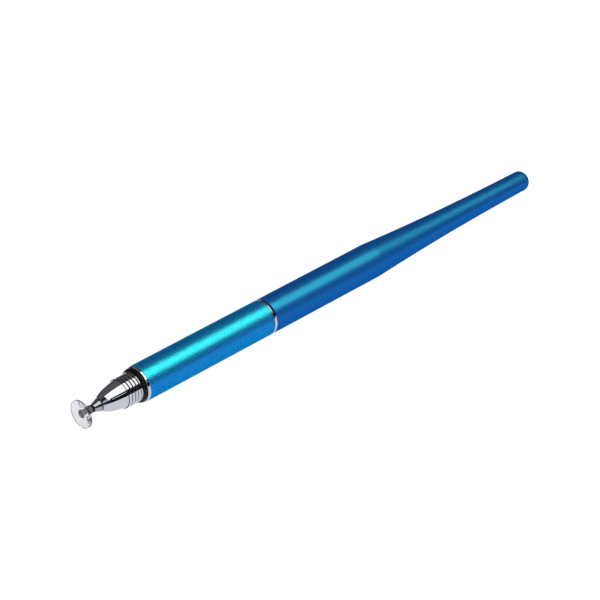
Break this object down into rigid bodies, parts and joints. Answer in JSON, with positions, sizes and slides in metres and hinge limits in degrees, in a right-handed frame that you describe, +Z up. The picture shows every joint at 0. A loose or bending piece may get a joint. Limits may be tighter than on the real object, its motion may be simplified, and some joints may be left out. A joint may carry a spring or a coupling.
{
  "type": "capacitive stylus pen",
  "caption": "Slim metal touch-screen stylus with a clear ball-jointed disc tip, a ribbed screw-off nose and a two-part barrel that tapers to a round tail.",
  "frame": {"origin": "under the middle of the pen's length, on the surface it rests on", "axes": "+X from the touch disc to the tail along the pen, +Z up, +Y to the left of someone who looks along +X"},
  "size_m": [0.154, 0.009, 0.009],
  "materials": {
    "clear_plastic": "clear, polished",
    "grey_conductor": "matt dark grey conductive filling",
    "black_plastic": "black conductive plastic",
    "bright_steel": "turned and polished",
    "chrome_plate": "mirror chrome",
    "black_rubber": "moulded, satin",
    "brass": "turned",
    "blue_blasted": "bead-blasted blue anodise",
    "blue_satin": "satin blue anodise"
  },
  "bodies": {
    "grip": {"front_barrel": "blue_blasted", "front_trim_ring": "chrome_plate", "nose_bush": "brass", "mid_bush": "brass"},
    "nose_seal_ring": {"nose_seal": "black_rubber"},
    "nose": {"nose_cone": "chrome_plate", "tip_bush": "brass"},
    "tip_washer_ring": {"tip_washer": "black_rubber"},
    "tip": {"tip_ferrule": "chrome_plate"},
    "stud": {"ball_stud": "bright_steel"},
    "socket": {"ball_socket": "black_plastic", "contact_pad": "grey_conductor"},
    "disc": {"touch_disc": "clear_plastic"},
    "middle_ring": {"mid_trim_ring": "chrome_plate"},
    "rear": {"rear_barrel": "blue_satin", "rear_stud": "brass"}
  },
  "joints": [
    {"name": "nose_travel", "type": "slide", "parent": "grip", "child": "nose_seal_ring", "axis": [-1, 0, 0], "range_m": [0, 0.0045]},
    {"name": "nose_unscrew", "type": "hinge", "parent": "nose_seal_ring", "child": "nose", "pos_m": [-0.059, 0, 0.0045], "axis": [-1, 0, 0], "range_deg": [0, 2161]},
    {"name": "tip_travel", "type": "slide", "parent": "nose", "child": "tip_washer_ring", "axis": [-1, 0, 0], "range_m": [0, 0.0024]},
    {"name": "tip_unscrew", "type": "hinge", "parent": "tip_washer_ring", "child": "tip", "pos_m": [-0.0695, 0, 0.0045], "axis": [-1, 0, 0], "range_deg": [0, 2161]},
    {"name": "disc_swivel", "type": "hinge", "parent": "tip", "child": "stud", "pos_m": [-0.07375, 0, 0.0045], "axis": [1, 0, 0], "continuous": true},
    {"name": "disc_tilt", "type": "hinge", "parent": "stud", "child": "socket", "pos_m": [-0.07375, 0, 0.0045], "axis": [0, 1, 0], "range_deg": [-30, 30]},
    {"name": "disc_spin", "type": "hinge", "parent": "socket", "child": "disc", "pos_m": [-0.07375, 0, 0.0045], "axis": [1, 0, 0], "continuous": true},
    {"name": "rear_travel", "type": "slide", "parent": "grip", "child": "middle_ring", "axis": [1, 0, 0], "range_m": [0, 0.00525]},
    {"name": "rear_unscrew", "type": "hinge", "parent": "middle_ring", "child": "rear", "pos_m": [-0.022, 0, 0.0045], "axis": [1, 0, 0], "range_deg": [0, 2521]}
  ],
  "couplings": [
    {"joint": "nose_unscrew", "follows": "nose_travel", "rad_per_m": 8377.6},
    {"joint": "tip_unscrew", "follows": "tip_travel", "rad_per_m": 15708},
    {"joint": "rear_unscrew", "follows": "rear_travel", "rad_per_m": 8377.6}
  ]
}
